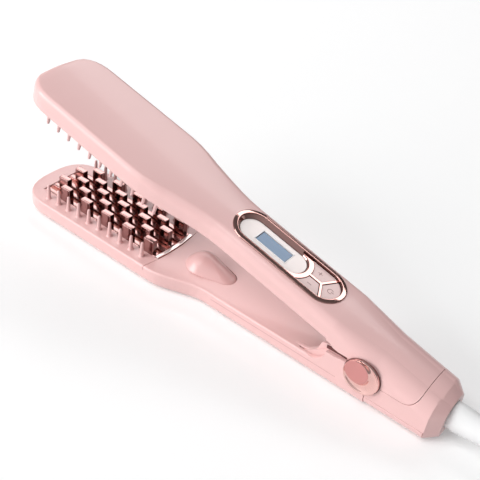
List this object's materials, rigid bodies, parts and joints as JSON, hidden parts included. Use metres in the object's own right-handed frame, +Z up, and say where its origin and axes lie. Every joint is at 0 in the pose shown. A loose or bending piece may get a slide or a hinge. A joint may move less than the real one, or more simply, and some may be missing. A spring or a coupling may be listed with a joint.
{
  "type": "hair straightening comb",
  "caption": "Hinged hair straightening comb with heated grid plates, comb pins, a display with keys and a mains cord.",
  "frame": {"origin": "bottom centre of the comb without its cord, on the surface that it lies on", "axes": "+X from the head to the cord's end, +Z up"},
  "size_m": [0.5387, 0.059, 0.0848],
  "materials": {
    "pink_shell": "glossy moulded",
    "rose_plate": "rose-gold plated",
    "rose_trim": "metallised",
    "rose_cap": "satin metallic",
    "ivory_panel": "smooth",
    "lcd_glass": "clear",
    "button_pink": "satin",
    "heater_metal": "plain",
    "steel": "plain",
    "wire_sleeve": "matt",
    "board_green": "laminate",
    "dark_plastic": "matt",
    "terminal_plastic": "matt",
    "bush_brass": "turned",
    "white_cord": "smooth",
    "plug_metal": "nickel plated"
  },
  "bodies": {
    "body": {"top_cover": "pink_shell", "upper_comb_frame": "pink_shell", "handle_under_cover": "pink_shell", "upper_heat_plate": "rose_plate", "upper_heater": "heater_metal", "upper_heater_clamp": "steel", "upper_thermal_fuse": "steel", "upper_heater_leads": "wire_sleeve", "display_bezel": "rose_trim", "display_panel": "ivory_panel", "lcd_module": "lcd_glass", "main_board": "board_green", "switches": "dark_plastic", "board_triac": "dark_plastic", "board_capacitor": "dark_plastic", "board_terminal": "terminal_plastic", "tail_cap": "pink_shell", "tail_under_cover": "pink_shell", "tail_screws": "steel", "swivel_collar": "terminal_plastic", "hinge_pin": "steel", "hinge_cap_left": "rose_cap", "hinge_cap_right": "rose_cap", "hinge_spring": "steel", "cord_lead": "white_cord", "cord_coil": "white_cord", "coil_tie": "dark_plastic", "plug": "white_cord", "plug_pins": "plug_metal"},
    "lever": {"lever_cover": "pink_shell", "lower_comb_frame": "pink_shell", "lever_inner_cover": "pink_shell", "boss_cover": "pink_shell", "lower_heat_plate": "rose_plate", "lower_heater": "heater_metal", "lower_heater_clamp": "steel", "lower_thermal_fuse": "steel", "hinge_bushes": "bush_brass", "lever_screws": "steel", "lower_heater_leads": "wire_sleeve"},
    "minus_key": {"button_minus": "button_pink"},
    "plus_key": {"button_plus": "button_pink"},
    "power_key": {"button_power": "button_pink"},
    "swivel": {"strain_relief": "white_cord"}
  },
  "joints": [
    {"name": "lever_hinge", "type": "hinge", "parent": "body", "child": "lever", "pos_m": [0.0933, 0, 0.018], "axis": [0, 1, 0], "range_deg": [0, 13], "stiffness_Nm_per_rad": 1, "springref_deg": -17.19},
    {"name": "minus_press", "type": "slide", "parent": "body", "child": "minus_key", "axis": [-0.2292, 0, -0.9734], "range_m": [0, 0.0005], "stiffness_N_per_m": 2000},
    {"name": "plus_press", "type": "slide", "parent": "body", "child": "plus_key", "axis": [-0.2292, 0, -0.9734], "range_m": [0, 0.0005], "stiffness_N_per_m": 2000},
    {"name": "power_press", "type": "slide", "parent": "body", "child": "power_key", "axis": [-0.2292, 0, -0.9734], "range_m": [0, 0.0005], "stiffness_N_per_m": 2000},
    {"name": "cord_swivel", "type": "hinge", "parent": "body", "child": "swivel", "pos_m": [0.1349, 0, 0.0111], "axis": [1, 0, 0], "continuous": true}
  ]
}
